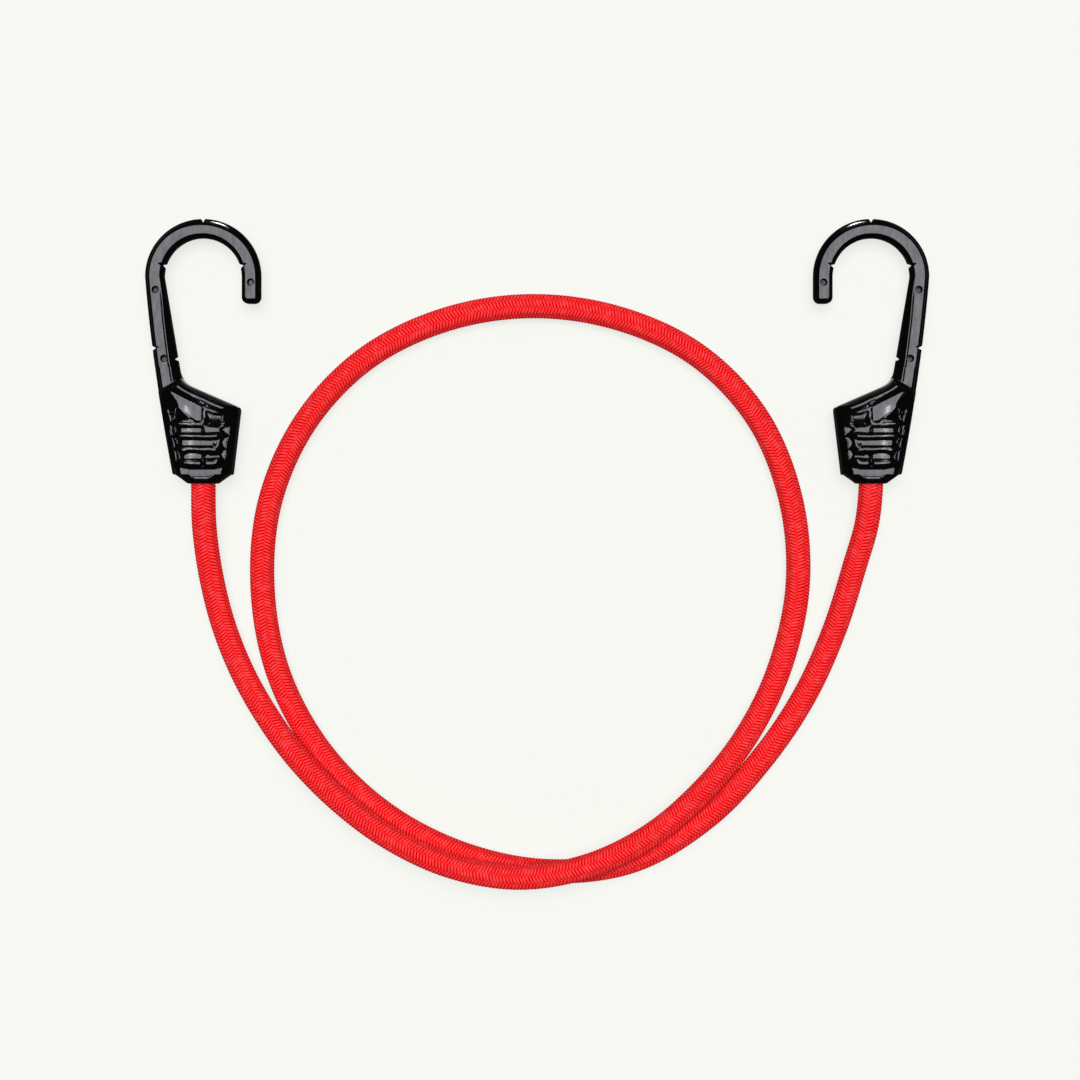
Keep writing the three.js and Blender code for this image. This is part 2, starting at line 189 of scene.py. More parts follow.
# Painted shade: a dark red for the yarn's dips, its edges and the streaks between its filaments.
painted_yarn_shade = (0.72, 0.0002, 0.001, 1)
yarn_worn = (0.7, 0.01, 0.016, 1)
lining_radius = braid_radius - yarn_wave - yarn_thickness / 4
lining_sides = 20
lining_samples = 700
# The lining's two colours are painted shade, far darker than the yarn's own red.
lining_shade_dark = (0.10, 0.0, 0.001, 1)
lining_shade_light = (0.26, 0.001, 0.004, 1)


class Tree(Nodes):
    """A node tree for one kind of piece, with its inputs named as the piece's sizes."""

    def __init__(self, name, floats, ints):
        super().__init__(bpy.data.node_groups.new(name, "GeometryNodeTree"))
        face = self.tree.interface
        for way in ("INPUT", "OUTPUT"):
            face.new_socket("Geometry", in_out=way, socket_type="NodeSocketGeometry")
        self.keys = {}
        for kind, labels in (("Float", floats), ("Int", ints), ("Material", ["Material"])):
            for label in labels:
                socket = face.new_socket(label, in_out="INPUT", socket_type="NodeSocket" + kind)
                self.keys[label] = socket.identifier
        self.start = self.tree.nodes.new("NodeGroupInput")
        self.end = self.tree.nodes.new("NodeGroupOutput")

    def route_line(self):
        """The line that the tree runs along, as an evenly sampled curve."""
        size = self.start.outputs
        line = self.node("GeometryNodeMeshToCurve", Mesh=size["Geometry"])
        return self.node("GeometryNodeResampleCurve", Curve=line, Count=size["Samples"])

    def vector(self, operation, a, **others):
        return self.node("ShaderNodeVectorMath", {"operation": operation}, n0=a, **others).outputs[0]

    def store(self, geometry, name, value, kind="FLOAT"):
        settings = {"data_type": kind, "domain": "POINT"}
        links = {"Geometry": geometry, "Name": name, "Value": value}
        return self.node("GeometryNodeStoreNamedAttribute", settings, **links)

    def stored(self, name, kind="FLOAT"):
        return self.node("GeometryNodeInputNamedAttribute", {"data_type": kind}, Name=name).outputs[0]

    def finish(self, line, section):
        """Sweeps the section along the line, as real geometry with the piece's material."""
        swept = self.node("GeometryNodeCurveToMesh", Curve=line, n1=section, Fill_Caps=True)
        real = self.node("GeometryNodeRealizeInstances", Geometry=swept)
        material = self.start.outputs["Material"]
        dressed = self.node("GeometryNodeSetMaterial", Geometry=real, Material=material)
        self.feed(self.end.inputs[0], dressed)

    def make(self, name, points, values):
        """Runs the tree along a line of points and returns the result as a plain object."""
        line = bpy.data.meshes.new(name + "_line")
        line.from_pydata([tuple(q) for q in points], [(k, k + 1) for k in range(len(points) - 1)], [])
        carrier = add_object(name + "_line", line)
        modifier = carrier.modifiers.new("tree", "NODES")
        modifier.node_group = self.tree
        for label, value in values.items():
            modifier[self.keys[label]] = value
        mesh = evaluated_mesh(carrier)
        mesh.name = name
        bpy.data.objects.remove(carrier)
        bpy.data.meshes.remove(line)
        mesh.shade_smooth()
        return add_object(name, mesh)


def yarn_tree():
    """One yarn: a flat strand that winds round the route and waves out and in by columns."""
    floats = ("Start angle", "Lead", "Radius", "Wave", "Width", "Thickness")
    tree = Tree("yarn", floats, ("Sides", "Samples"))
    size = tree.start.outputs
    line = tree.route_line()
    run = tree.node("GeometryNodeSplineParameter").outputs["Length"]
    line = tree.store(line, "along", run)
    normal = tree.node("GeometryNodeInputNormal").outputs["Normal"]
    tangent = tree.node("GeometryNodeInputTangent").outputs["Tangent"]
    other = tree.vector("CROSS_PRODUCT", tangent, n1=normal)
    turned = tree.math("DIVIDE", tree.math("MULTIPLY", run, math.tau), size["Lead"])
    angle = tree.math("ADD", turned, size["Start angle"])
    ahead = tree.vector("SCALE", normal, Scale=tree.math("COSINE", angle))
    aside = tree.vector("SCALE", other, Scale=tree.math("SINE", angle))
    outward = tree.vector("ADD", ahead, n1=aside)
    line = tree.store(line, "outward", outward, "FLOAT_VECTOR")
    outward = tree.stored("outward", "FLOAT_VECTOR")

    column = tree.math("MULTIPLY", tree.math("SUBTRACT", angle, yarn_start), float(columns_each_way))
    wave = tree.math("MULTIPLY", tree.math("COSINE", column), wave_share)
    third = tree.math("COSINE", tree.math("MULTIPLY", column, 3.0))
    third = tree.math("MULTIPLY", third, wave_third_share)
    height = tree.math("MULTIPLY", tree.math("ADD", wave, third), size["Wave"])
    side = tree.math("SIGN", size["Lead"])
    reach = tree.math("ADD", size["Radius"], tree.math("MULTIPLY", height, side))
    line = tree.store(line, "reach", reach)
    offset = tree.vector("SCALE", outward, Scale=tree.stored("reach"))
    line = tree.node("GeometryNodeSetPosition", Geometry=line, Offset=offset)
    line = tree.node("GeometryNodeSetCurveNormal", {"mode": "FREE"}, Curve=line, Normal=outward)

    section = tree.node("GeometryNodeCurvePrimitiveCircle", Resolution=size["Sides"], Radius=0.5)
    shape = tree.node("ShaderNodeCombineXYZ", X=size["Thickness"], Y=size["Width"], Z=1.0)
    section = tree.node("GeometryNodeTransform", Geometry=section, Scale=shape)
    section = tree.store(section, "across", tree.node("GeometryNodeInputPosition"), "FLOAT_VECTOR")
    tree.finish(line, section)
    return tree


class Finish(Nodes):
    """A material of one piece, written as nodes that end in one shader."""

    def __init__(self, name, **shader):
        self.material = bpy.data.materials.new(name)
        self.material.use_nodes = True
        super().__init__(self.material.node_tree)
        self.shader = self.tree.nodes["Principled BSDF"]
        self.put(**shader)
        self.object = self.node("ShaderNodeTexCoord").outputs["Object"]

    def attribute(self, name, output="Fac"):
        return self.node("ShaderNodeAttribute", {"attribute_name": name}).outputs[output]

    def noise(self, vector, scale, detail=2.0, roughness=0.5):
        return self.node(
            "ShaderNodeTexNoise", Vector=vector, Scale=scale, Detail=detail, Roughness=roughness
        ).outputs["Fac"]

    def stretch(self, vector, scale):
        return self.node("ShaderNodeMapping", Vector=vector, Scale=scale).outputs["Vector"]

    def span(self, value, low, high, to_low=0.0, to_high=1.0):
        """Maps a value from one span to another and holds it there."""
        return self.node(
            "ShaderNodeMapRange", Value=value, From_Min=low, From_Max=high, To_Min=to_low, To_Max=to_high
        ).outputs["Result"]

    def blend(self, share, a, b):
        return self.node("ShaderNodeMix", {"data_type": "RGBA"}, Factor=share, n6=a, n7=b).outputs[2]

    def bump(self, height, depth, strength=1.0, **under):
        return self.node("ShaderNodeBump", Height=height, Distance=depth, Strength=strength, **under)

    def put(self, **links):
        """Feeds the shader's inputs and returns the material."""
        for name, source in links.items():
            self.feed(self.shader.inputs[name.replace("_", " ")], source)
        return self.material


def yarn_finish():
    """Glossy filament yarn: fine filaments along each strand, with painted shade where it dips under, along
    its edges and in streaks between its filaments, and a painted highlight along its middle.
    """
    finish = Finish("braided_yarn", Roughness=0.55, Specular_IOR_Level=0.02)
    across = finish.node("ShaderNodeSeparateXYZ", Vector=finish.attribute("across", "Vector")).outputs
    along = finish.attribute("along")
    place = finish.node("ShaderNodeCombineXYZ", X=across["X"], Y=across["Y"], Z=along)
    filaments = finish.noise(finish.stretch(place, (9000.0, 9000.0, 1400.0)), 1.0, 3.0)
    slubs = finish.noise(finish.object, 420.0)
    worn = finish.noise(finish.object, 38.0, 3.0)
    reach = finish.attribute("reach")
    depth = finish.span(reach, braid_radius - yarn_wave, braid_radius + yarn_wave)
    side = finish.math("ABSOLUTE", across["Y"])
    # Painted shade: each yarn is coloured darker towards its edges, where it meets the next.
    edge = finish.span(side, crest_highlight_half_width, edge_shade_half_width, 0.0, 0.8)
    # Painted shade: the yarn is coloured darker where it dips under the others.
    shade = finish.blend(finish.span(depth, 0.1, 0.8), painted_yarn_shade, yarn_red)
    # Painted highlight: a lighter red along each yarn's middle, strongest where the yarn rides high.
    painted_highlight = finish.span(side, 0.0, crest_highlight_half_width, 0.8, 0.0)
    painted_highlight = finish.math("MULTIPLY", painted_highlight, finish.span(depth, 0.3, 1, 0.3, 1))
    shade = finish.blend(painted_highlight, shade, yarn_highlight_and_slub)
    shade = finish.blend(edge, shade, painted_yarn_shade)
    # Painted shade in fine streaks between the filaments.
    shade = finish.blend(finish.span(filaments, 0.35, 0.75, 0.0, 0.35), shade, painted_yarn_shade)
    # Slubs: random lighter patches of the yarn itself, in the colour of the painted highlight.
    shade = finish.blend(finish.span(slubs, 0.5, 0.75, 0.0, 0.3), shade, yarn_highlight_and_slub)
    shade = finish.blend(finish.span(worn, 0.55, 0.75, 0.0, 0.12), shade, yarn_worn)
    rough = finish.span(slubs, 0.3, 0.7, 0.48, 0.62)
    return finish.put(Base_Color=shade, Roughness=rough, Normal=finish.bump(filaments, 0.00005, 0.8))


def speckled_finish(name, noise, spread, colours, depth, strength=1.0, **shader):
    """A material whose colour and relief both follow one fine noise, from its scale and detail."""
    finish = Finish(name, **shader)
    speckle = finish.noise(finish.object, *noise)
    shade = finish.blend(finish.span(speckle, *spread), *colours)
    return finish.put(Base_Color=shade, Normal=finish.bump(speckle, depth, strength))


def tube_tree():
    """A round tube along the route."""
    tree = Tree("tube", ("Radius",), ("Sides", "Samples"))
    size = tree.start.outputs
    section = tree.node("GeometryNodeCurvePrimitiveCircle", Resolution=size["Sides"], Radius=size["Radius"])
    tree.finish(tree.route_line(), section)
    return tree


yarn_material = yarn_finish()
yarns = yarn_tree()
turn_count = route_length / braid_lead
for way, lead in (("right", braid_lead), ("left", -braid_lead)):
    for carrier in range(carriers_each_way):
        strand = yarns.make(f"yarn_{way}_{carrier + 1}", route, {
            "Start angle": math.tau * carrier / carriers_each_way,
            "Lead": lead,
            "Radius": braid_radius,
            "Wave": yarn_wave,
            "Width": yarn_width,
            "Thickness": yarn_thickness,
            "Sides": yarn_sides,
            "Samples": round(turn_count * samples_per_turn) + 1,
            "Material": yarn_material,
        })
        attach(strand, "cord")

# What shows between the yarns: a tube that stands for their backs, coloured dark red in painted shade.
lining_material = speckled_finish(
    "yarn_backs", (2600.0, 2.0), (0.3, 0.7), (lining_shade_dark, lining_shade_light), 0.00005, Roughness=0.8
)
lining = tube_tree().make("cover_lining", route, {
    "Radius": lining_radius,
    "Sides": lining_sides,
    "Samples": lining_samples,
    "Material": lining_material,
})
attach(lining, "cord")
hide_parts("cord_cover")

# Inside the cover lies a bundle of cut rubber threads, square in section, which is what stretches.
# They are laid four by four without the corners and run side by side from barrel to barrel. The rubber
# is natural, and dusted with talc so that the threads slide on each other.
thread_side = 0.0011
thread_gap = 0.0003
threads_across = 4
corner_reach = 0.6
rubber_bare = (0.62, 0.47, 0.26, 1)
rubber_dusted = (0.8, 0.74, 0.6, 1)


def thread_tree():
    """All threads at once: squares on a grid without its corners, swept along the route."""
    tree = Tree("rubber_threads", ("Side", "Pitch"), ("Across", "Samples"))
    size = tree.start.outputs
    across = size["Across"]
    span = tree.math("MULTIPLY", size["Pitch"], tree.math("SUBTRACT", across, 1.0))
    grid = {"Size_X": span, "Size_Y": span, "Vertices_X": across, "Vertices_Y": across}
    grid = tree.node("GeometryNodeMeshGrid", **grid)
    reach = tree.vector("LENGTH", tree.node("GeometryNodeInputPosition")).node.outputs["Value"]
    corner = tree.math("GREATER_THAN", reach, tree.math("MULTIPLY", span, corner_reach))
    places = tree.node("GeometryNodeDeleteGeometry", {"domain": "POINT"}, n0=grid, Selection=corner)
    square = tree.node("GeometryNodeCurvePrimitiveQuadrilateral", Width=size["Side"], Height=size["Side"])
    section = tree.node("GeometryNodeInstanceOnPoints", Points=places, Instance=square)
    section = tree.node("GeometryNodeRealizeInstances", Geometry=section)
    tree.finish(tree.route_line(), section)
    return tree


rubber = speckled_finish(
    "cut_rubber", (900.0, 4.0), (0.35, 0.7), (rubber_bare, rubber_dusted), 0.00004, Roughness=0.8
)
threads = thread_tree().make("rubber_threads", route, {
    "Side": thread_side,
    "Pitch": thread_side + thread_gap,
    "Across": threads_across,
    "Samples": lining_samples,
    "Material": rubber,
})
thread_nodes = sorted(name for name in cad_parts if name.startswith("rubber_thread_"))
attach(threads, "cord")
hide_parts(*thread_nodes)


# A drawn metal sleeve is crimped on each end of the cord. It stands in the barrel's chamber and
# turns there, so the hook can turn about the cord. Its crimps are rolled and lightly scored.
zinc_bright = (0.66, 0.67, 0.69, 1)
zinc_stained = (0.44, 0.44, 0.43, 1)


def metal_finish(name, drawn, depth, strength, noise, spread, colours, rough):
    """Bare metal: fine marks drawn out one way, and stains that change its colour and its gloss."""
    finish = Finish(name, Metallic=1.0)
    marks = finish.noise(finish.stretch(finish.object, drawn), 1.0, 3.0)
    stain = finish.noise(finish.object, *noise)
    shade = finish.blend(finish.span(stain, *spread), *colours)
    rough = finish.span(stain, 0.3, 0.7, *rough)
    return finish.put(Base_Color=shade, Roughness=rough, Normal=finish.bump(marks, depth, strength))


sleeve_material = metal_finish(
    "crimped_zinc", (400.0, 9000.0, 400.0), 0.00004, 0.6, (520.0, 3.0), (0.4, 0.75),
    (zinc_bright, zinc_stained), (0.28, 0.5),
)
sleeves = [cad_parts[side + "_crimp_sleeve"] for side in hook_sides]
for sleeve in sleeves:
    dress(sleeve.data, sleeve_material)


# A flat strip of steel is bent to a J and moulded into each hook. It shows only at the bottom of the round
# marks that the mould's pins leave. Its colour is kept near black, far darker than bare steel, so that the
# floors of the wells show dark.
steel_grey = (0.030, 0.029, 0.031, 1)
steel_black = (0.012, 0.011, 0.011, 1)
core_material = metal_finish(
    "blackened_steel", (6000.0, 300.0, 6000.0), 0.00003, 0.5, (700.0, 4.0), (0.45, 0.75),
    (steel_grey, steel_black), (0.3, 0.55),
)
for side in hook_sides:
    dress(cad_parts[side + "_steel_core"].data, core_material)


# Each hook is one moulding of glossy black nylon, the same on its two faces: a flat bevelled band
# that makes the crown, the tip and the shank, and a deep barrel with ribs across it for the
# fingers. Its sides lean in from a parting line at half depth. The right hook is turned over.
crown_radius = 0.0185
crown_y = 0.0656
band_width = 0.0063
band_half_depth = 0.0035
band_side = 0.0022
band_draft = 0.00025
band_bevel_power = 1.18
bow_pull = (0.25, 0.45)
bow_points = 120
outer_bevel = 0.00150
crown_bevel_extra = 0.00065
crown_bevel_middle = math.radians(78)
crown_bevel_spread = math.radians(42)
inner_bevel = 0.00120
shank_flat = 0.0034
tip_length = 0.0084
tip_corner = 0.0020
shank_line_inset = 0.00045
shank_line_half_width = 0.00022
shank_line_depth = 0.00016
shank_line_fade = 0.004
shank_bevel_run = 0.012

foot_half_width = 0.0097
foot_y = 0.0029
top_half_width = 0.0122
shoulder_y = 0.0240
shoulder_rise = 0.0082
shank_corner_x = -0.0066
barrel_half_depth = 0.0075
barrel_draft = 0.00045
buried_edge_x = (0.0021, shank_corner_x + 0.001)
edge_radii = (0.0016, 0.0070)
corner_steps = 14

collar_radius = 0.0049
collar_top_half_width = 0.0086
collar_half_depth = 0.0052
collar_top_half_depth = 0.0067
collar_dome_y = 0.0014
collar_dome_power = 0.6
collar_top = 0.0028
collar_powers = ((0.0012, collar_top), (3, 5))
mouth_chamfer = 0.00015
collar_line = (0.00200, 0.00213, 0.00226)
collar_line_depth = 0.00008
collar_line_half_width = 0.0034
collar_line_fade = 4
bore_radius = 0.0044
bore_depth = 0.0106
chamber_radius = 0.0058
chamber_end = 0.0219
bore_chamfer = 0.0002
least_depth = 0.00001
weld_distance = 1e-7

nylon_black = (0.0010, 0.0010, 0.0012, 1)
nylon_scuffed = (0.0022, 0.0021, 0.0025, 1)
nylon_tint = (0.97, 0.93, 1.0, 1)
matt_limit = 0.76
glossy_shoulder_lean = 0.4
glossy_shoulder_overrun = 0.001
crease_angle = math.radians(30)

ring_columns = 128
inner_radius = crown_radius - band_width
shank_corner_y = shoulder_y + shoulder_rise


def rounded_line(points, radii, steps):
    """A run of straight lines whose inner corners are rounded, as points."""
    line = [np.array(points[0])]
    for before, corner, after, radius in zip(points, points[1:], points[2:], radii):
        corner = np.array(corner)
        back = np.array(before) - corner
        ahead = np.array(after) - corner
        back /= np.linalg.norm(back)
        ahead /= np.linalg.norm(ahead)
        half = math.acos(float(np.clip(back @ ahead, -1, 1))) / 2
        run = radius / math.tan(half)
        for k in range(steps + 1):
            share = k / steps
            line.append(corner + back * run * (1 - share) ** 2 + ahead * run * share**2)
    line.append(np.array(points[-1]))
    return np.array(line)


def bow_line():
    """The shank's outer edge, from the crown down to the foot of the barrel."""
    start = np.array((-crown_radius, crown_y))
    end = np.array((-foot_half_width, foot_y))
    middle = start + (end - start) * bow_pull
    share = np.linspace(1, 0, bow_points)[:, None]
    return start * (1 - share) ** 2 + 2 * middle * share * (1 - share) + end * share**2


outer_edge = bow_line()
inner_corners = [
    (foot_half_width, foot_y),
    (top_half_width, shoulder_y),
    (shank_corner_x, shank_corner_y),
    (-inner_radius, crown_y),
]
inner_edge = rounded_line(inner_corners, edge_radii, corner_steps)

# The open space beyond the shoulder, up to the crown, with its rounded corner at the shank.
above_shoulder = map(tuple, inner_edge[-corner_steps - 2:])
shoulder_gap = [(top_half_width, shoulder_y), *above_shoulder, (top_half_width, crown_y)]


def edge_at(edge, y):
    return np.interp(y, edge[:, 1], edge[:, 0])


def bevel_rise(share, power):
    """A bevel's rise, from 0 at the edge to 1 where it meets the flat."""
    share = np.clip(share, 0, 1)
    return (1 - (1 - share) ** power) ** (1 / power)


def soft_least(heights, softness):
    """The least of several heights, with the ridges between them rounded."""
    heights = np.array(heights)
    least = heights.min(axis=0)
    return least - softness * np.log(np.exp((least - heights) / softness).sum(axis=0))


def polygon_distance(x, y, corners):
    """How far outside a polygon each point lies, and 0 inside it."""
    best = np.full(x.shape, 1.0)
    inside = np.zeros(x.shape, bool)
    for (ax, ay), (bx, by) in zip(corners, corners[1:] + corners[:1]):
        dx, dy = bx - ax, by - ay
        share = np.clip(((x - ax) * dx + (y - ay) * dy) / (dx * dx + dy * dy), 0, 1)
        best = np.minimum(best, np.hypot(x - ax - share * dx, y - ay - share * dy))
        if dy:
            inside ^= ((ay > y) != (by > y)) & (x < ax + (y - ay) * dx / dy)
    return np.where(inside, 0, best)


# The grip on the barrel's face is a set of floors and grooves with rounded ribs between them, and of
# cheeks that lean down to the sides. What is level faces straight up, so it shines, while the flanks of
# the ribs stay black. Each row holds a height, the slope of the flanks, how the floor leans along x
# and y, and its corners. Sizes are in millimetres, from a point that grip_place gives.
rib_slope = 0.45
cheek_slope = 0.85
groove_slope = 0.8
rib_softness = 0.00017
pocket_slope = 2.0
level = (0, 0)
grip_floors = [
    (6.90, rib_slope, level, [
        (-10.7, 29.6), (-7.1, 27.7), (-0.7, 24.35), (-0.3, 24.0), (-0.45, 20.1), (-1.9, 20.2),
        (-4.2, 21.7), (-6.2, 23.2), (-8.2, 25.2), (-8.3, 26.0), (-9.4, 27.6),
    ]),
    (6.86, 0.27, level, [(-9.5, 29.1), (-0.5, 24.5), (-0.5, 24.45), (-9.5, 29.05)]),
    (7.06, 0.30, level, [
        (0.4, 24.3), (5.9, 22.65), (6.3, 22.55), (6.3, 22.3), (5.8, 22.3), (0.5, 24.0),
    ]),
    (6.62, rib_slope, (0, 0.05), [
        (2.0, 19.6), (2.2, 21.0), (1.5, 22.6), (2.3, 22.3), (3.3, 21.9), (6.0, 21.6), (6.0, 20.4),
        (5.4, 19.6),
    ]),
    (6.40, 0.31, level, [(2.2, 19.121), (6.2, 19.121), (6.2, 19.119), (2.2, 19.119)]),
    (7.24, rib_slope, level, [(-8.9, 20.0), (-3.4, 19.7), (-3.4, 19.6), (-8.9, 19.9)]),
    (7.20, cheek_slope, (0.28, 0.14), [
        (-3.9, 20.9), (-6.2, 22.2), (-8.2, 24.2), (-8.6, 21.4), (-5.0, 20.9),
    ]),
    (6.90, cheek_slope, (0.34, 0.21), [
        (-8.3, 26.0), (-10.6, 29.6), (-11.6, 31.2), (-13.6, 31.2), (-13.6, 24.5), (-8.4, 24.9),
    ]),
    (6.50, cheek_slope, (0.40, -0.06), [(-8.3, 24.8), (-8.6, 18.4), (-13.6, 18.4), (-13.6, 25.5)]),
    (6.62, cheek_slope, (-0.30, 0.05), [
        (6.0, 19.3), (6.1, 22.6), (12.6, 24.5), (12.6, 18.6), (8.8, 18.4),
    ]),
    (6.90, cheek_slope, (0.36, 0.04), [
        (-7.15, 17.7), (-7.15, 16.45), (-8.4, 15.6), (-8.2, 14.7), (-6.75, 13.95), (-6.8, 12.35),
        (-8.0, 11.5), (-7.8, 10.6), (-6.2, 9.3), (-6.1, 8.2), (-7.4, 7.4), (-7.2, 6.4), (-6.0, 5.6),
        (-13.6, 5.6), (-13.6, 18.4), (-8.2, 18.4),
    ]),
    (6.95, cheek_slope, (-0.38, 0), [
        (5.4, 17.6), (5.4, 16.6), (4.9, 15.6), (4.9, 14.6), (5.0, 13.9), (4.6, 12.6), (3.9, 11.5),
        (5.2, 10.0), (5.0, 8.6), (5.2, 7.4), (5.0, 6.4), (6.0, 5.8), (12.6, 5.8), (12.6, 18.4),
        (6.0, 18.4),
    ]),
    (6.94, rib_slope, level, [(-7.15, 16.45), (-0.3, 16.45), (-0.55, 17.7), (-7.15, 17.7)]),
    (6.94, rib_slope, level, [
        (0.6, 16.5), (1.5, 16.4), (5.3, 16.65), (5.4, 16.85), (3.6, 17.4), (2.0, 17.5), (0.75, 17.6),
    ]),
    (6.94, rib_slope, level, [
        (-6.8, 12.35), (3.1, 12.35), (3.4, 13.4), (4.2, 12.7), (4.9, 13.9), (2.6, 13.75),
        (-6.5, 13.95),
    ]),
    (6.94, rib_slope, level, [
        (-6.1, 8.2), (-0.5, 8.2), (-0.5, 9.4), (-2.3, 9.85), (-4.2, 9.85), (-5.4, 9.3),
    ]),
    (6.94, 0.33, level, [
        (0.8, 8.35), (1.2, 8.5), (2.2, 8.4), (5.0, 8.75), (4.9, 9.05), (2.3, 8.95), (1.9, 9.4),
        (1.5, 9.3),
    ]),
    (6.60, groove_slope, level, [(0.10, 16.7), (0.15, 16.7), (0.15, 17.4), (0.10, 17.4)]),
    (6.60, groove_slope, level, [(0.10, 8.4), (0.15, 8.4), (0.15, 9.3), (0.10, 9.3)]),
    (6.95, groove_slope, level, [(0.10, 6.0), (0.15, 6.0), (0.15, 7.7), (0.10, 7.7)]),
    (6.60, 0.64, level, [(-7.5, 2.5), (6.0, 2.5), (6.0, 5.25), (3.5, 4.7), (-3.9, 4.7), (-7.5, 5.35)]),
]
grip_place = np.array([0.5, -0.35])
mm = 0.001

# Pockets in the barrel's cheeks: the depth of each below the cheek, and its corners.
cheek_pockets = [
    (0.32, [(-11.2, 23.9), (-10.6, 23.6), (-9.9, 20.2), (-10.3, 19.4)]),
    (0.16, [
        (-9.5, 22.8), (-8.9, 22.1), (-8.6, 21.4), (-8.9, 20.6), (-9.2, 20.4), (-9.1, 21.4),
        (-9.2, 22.0),
    ]),
    (0.35, [(-10.5, 18.6), (-9.9, 18.6), (-9.4, 15.7), (-9.9, 15.6)]),
    (0.22, [
        (-9.1, 18.5), (-8.6, 17.9), (-8.1, 17.05), (-8.6, 16.3), (-9.5, 15.7), (-8.9, 16.4),
        (-8.65, 17.05), (-8.9, 17.8),
    ]),
    (0.35, [(-9.8, 14.8), (-9.3, 14.6), (-8.8, 11.8), (-9.2, 11.7)]),
    (0.22, [
        (-8.5, 14.5), (-8.0, 14.0), (-7.7, 13.3), (-8.0, 12.7), (-8.6, 12.1), (-8.2, 12.8),
        (-8.15, 13.3), (-8.3, 14.0),
    ]),
    (0.35, [(-9.1, 10.9), (-8.7, 10.7), (-8.1, 7.6), (-8.6, 7.5)]),
    (0.22, [
        (-8.1, 10.8), (-7.4, 9.7), (-6.9, 8.6), (-7.5, 7.9), (-8.4, 7.4), (-7.8, 8.1), (-7.45, 8.6),
        (-7.7, 9.6),
    ]),
    (0.42, [(6.1, 17.3), (7.2, 18.0), (8.2, 18.1), (8.2, 15.6), (7.1, 16.4)]),
    (0.40, [(6.1, 13.4), (6.9, 14.5), (7.9, 14.9), (7.2, 13.0), (7.1, 11.5), (6.4, 12.2)]),
    (0.38, [(5.9, 9.6), (6.5, 10.6), (7.4, 11.0), (7.1, 9.3), (7.1, 7.8), (6.2, 8.5)]),
]

# The barrel's four sides: the height at which each starts, and the run and power of its rise.
side_rises = {
    "left": (0.0046, 0.0048, 1.2),
    "right": (0.0046, 0.0058, 1.2),
    "shoulder": (0.0040, 0.0042, 2.0),
    "corner": (0.0028, 0.0024, 1.3),
}
side_crest = 0.0078
side_wall_slope = 3
corner_edge = ((-0.0088, 0.0324), (-0.0128, 0.0300))


def floor_height(x, y, height, slope, lean, corners):
    """One floor of the grip with the flanks round it, in metres."""
    corners = [tuple((grip_place + corner) * mm) for corner in corners]
    tilt = lean[0] * (x - corners[0][0]) + lean[1] * (y - corners[0][1])
    return height * mm + tilt + slope * polygon_distance(x, y, corners)


def barrel_face(x, y, pockets=()):
    """Half the barrel's depth at each point, with its cheeks, shoulder and grip."""
    lean = (top_half_width - foot_half_width) / (shoulder_y - foot_y)
    (ax, ay), (bx, by) = corner_edge
    run = math.hypot(bx - ax, by - ay)
    reach = {
        "left": x - edge_at(outer_edge, y) - barrel_draft,
        "right": foot_half_width + (y - foot_y) * lean - x - barrel_draft,
        "shoulder": polygon_distance(x, y, shoulder_gap),
        "corner": ((bx - ax) * (y - ay) - (by - ay) * (x - ax)) / run,
    }
    heights = []
    for side, (start, width, power) in side_rises.items():
        share = reach[side] / width
        rise = start + (side_crest - start) * bevel_rise(share, power)
        heights.append(np.where(share < 0, start + reach[side] * side_wall_slope, rise))
    heights += [floor_height(x, y, *sizes) for sizes in (*grip_floors, *pockets)]
    return np.minimum(soft_least(heights, rib_softness), barrel_half_depth)


def sunk_pockets():
    """The cheek pockets as floors, each sunk by its depth below the cheek at its middle."""
    floors = []
    for depth, corners in cheek_pockets:
        middle = (np.mean(corners, axis=0) + grip_place) * mm
        cheek = barrel_face(middle[:1], middle[1:])[0] / mm
        floors.append((cheek - depth, pocket_slope, level, corners))
    return floors


pocket_floors = sunk_pockets()


def band_face(outer, inner, end, outer_run, inner_run):
    """Half the band's depth, from a point's distances to the band's two edges and to its tip."""
    share = np.minimum(np.minimum(outer / outer_run, inner / inner_run), end / inner_run)
    side = np.minimum(outer, inner)
    in_corner = (side < tip_corner) & (end < tip_corner)
    reach = tip_corner - np.hypot(tip_corner - side, tip_corner - end)
    share = np.where(in_corner, np.minimum(share, reach / inner_run), share)
    return band_side + (band_half_depth - band_side) * bevel_rise(share, band_bevel_power)


# Where the moulding's rings lie, from its mouth up to its tip. The step from the collar to the barrel
# has stations of its own, each with how far it lies inside the barrel's edge.
collar_stations = (
    0, 0.0001, 0.0003, 0.0006, 0.0010, 0.0014, 0.0018, *collar_line, 0.0024, 0.0026, collar_top,
)
step_stations = ((0.00284, 0.0003), (0.00294, 0.0001), (0.0031, 0))
barrel_stations = np.arange(0.0033, 0.0330, 0.00017)
shoulder_stations = np.arange(0.0331, 0.0366, 0.00035)
shank_stations = np.linspace(0.0369, crown_y, 32)[:-1]
crown_stations = np.linspace(math.pi, 0, 64)
tip_y = crown_y - tip_length
tip_drops = np.linspace(crown_y, tip_y + tip_corner, 9)[1:]
tip_turns = np.linspace(0.12, math.pi / 2, 12)


